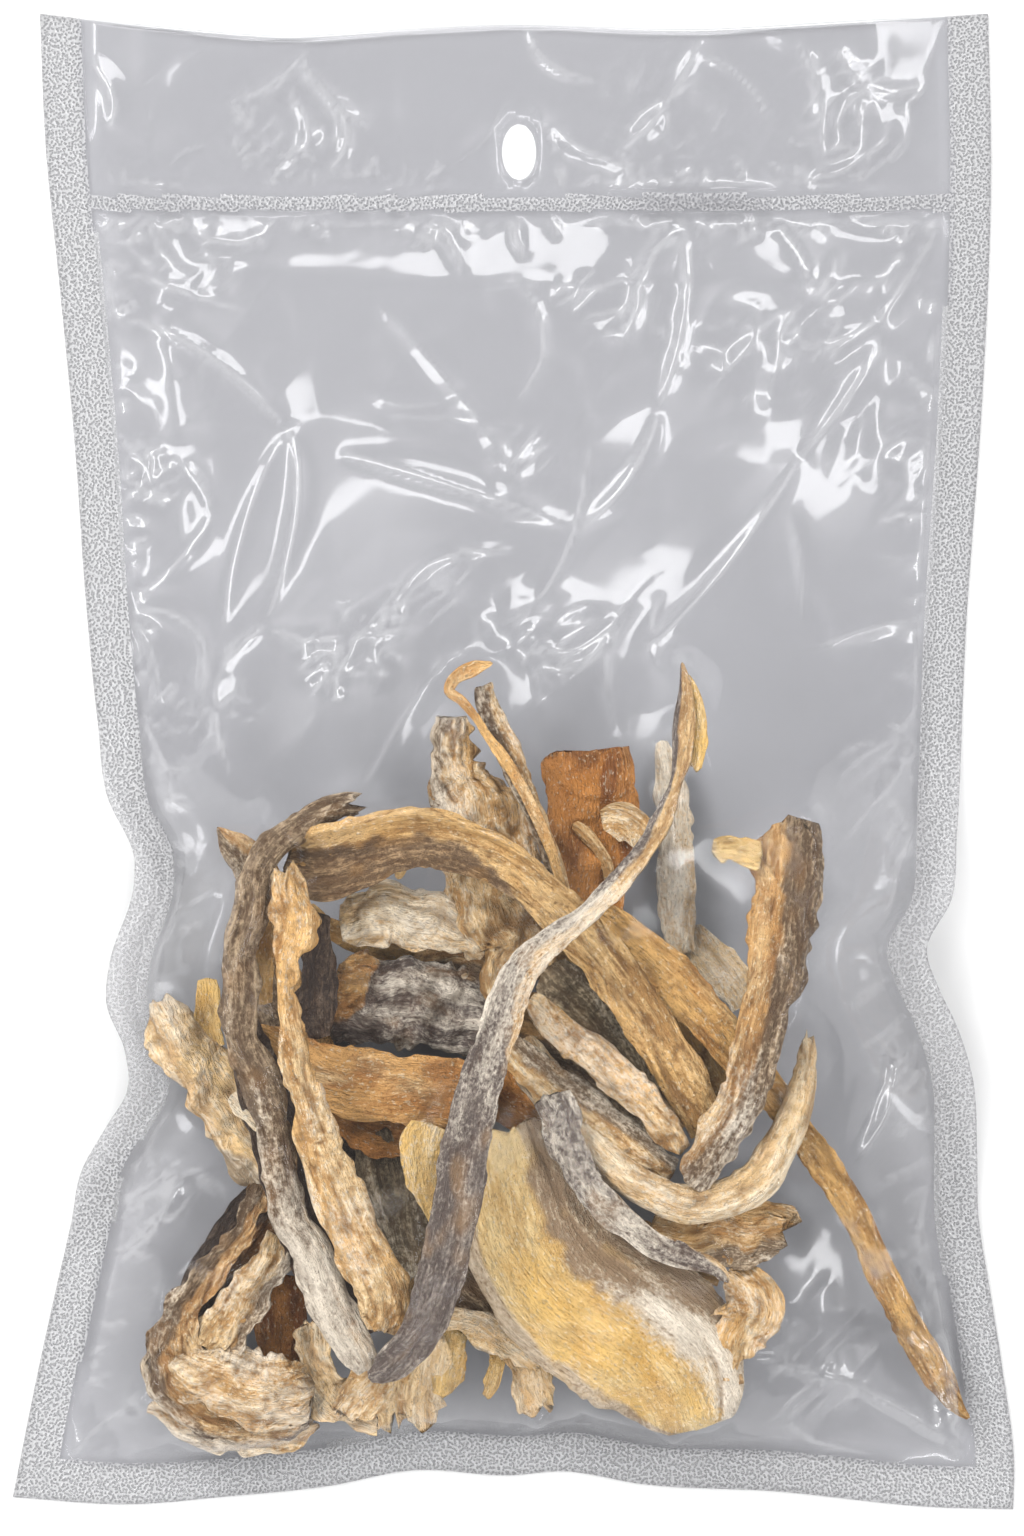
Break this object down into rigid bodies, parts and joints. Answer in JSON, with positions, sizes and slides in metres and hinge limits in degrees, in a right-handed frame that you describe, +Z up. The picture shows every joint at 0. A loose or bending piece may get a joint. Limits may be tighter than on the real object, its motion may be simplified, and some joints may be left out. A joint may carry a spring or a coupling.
{
  "type": "pouch of dried cod strips",
  "caption": "Clear heat-sealed pouch of salted dried cod strips, lying flat, with a hang hole in its header.",
  "frame": {"origin": "on the surface the pouch lies on, under the centre of its box", "axes": "+Z up out of the shown side, +Y up the pouch towards the hang hole, +X to the shown side's right"},
  "size_m": [0.2002, 0.299, 0.0459],
  "materials": {
    "clear_film": "glossy creased clear film",
    "heat_seal": "embossed heat-sealed film",
    "cod_flesh": "dry fibrous cream to amber flesh",
    "cod_skin": "dry mottled grey-brown skin with salt"
  },
  "bodies": {
    "root": {"clear_pouch": "clear_film"}
  },
  "joints": []
}
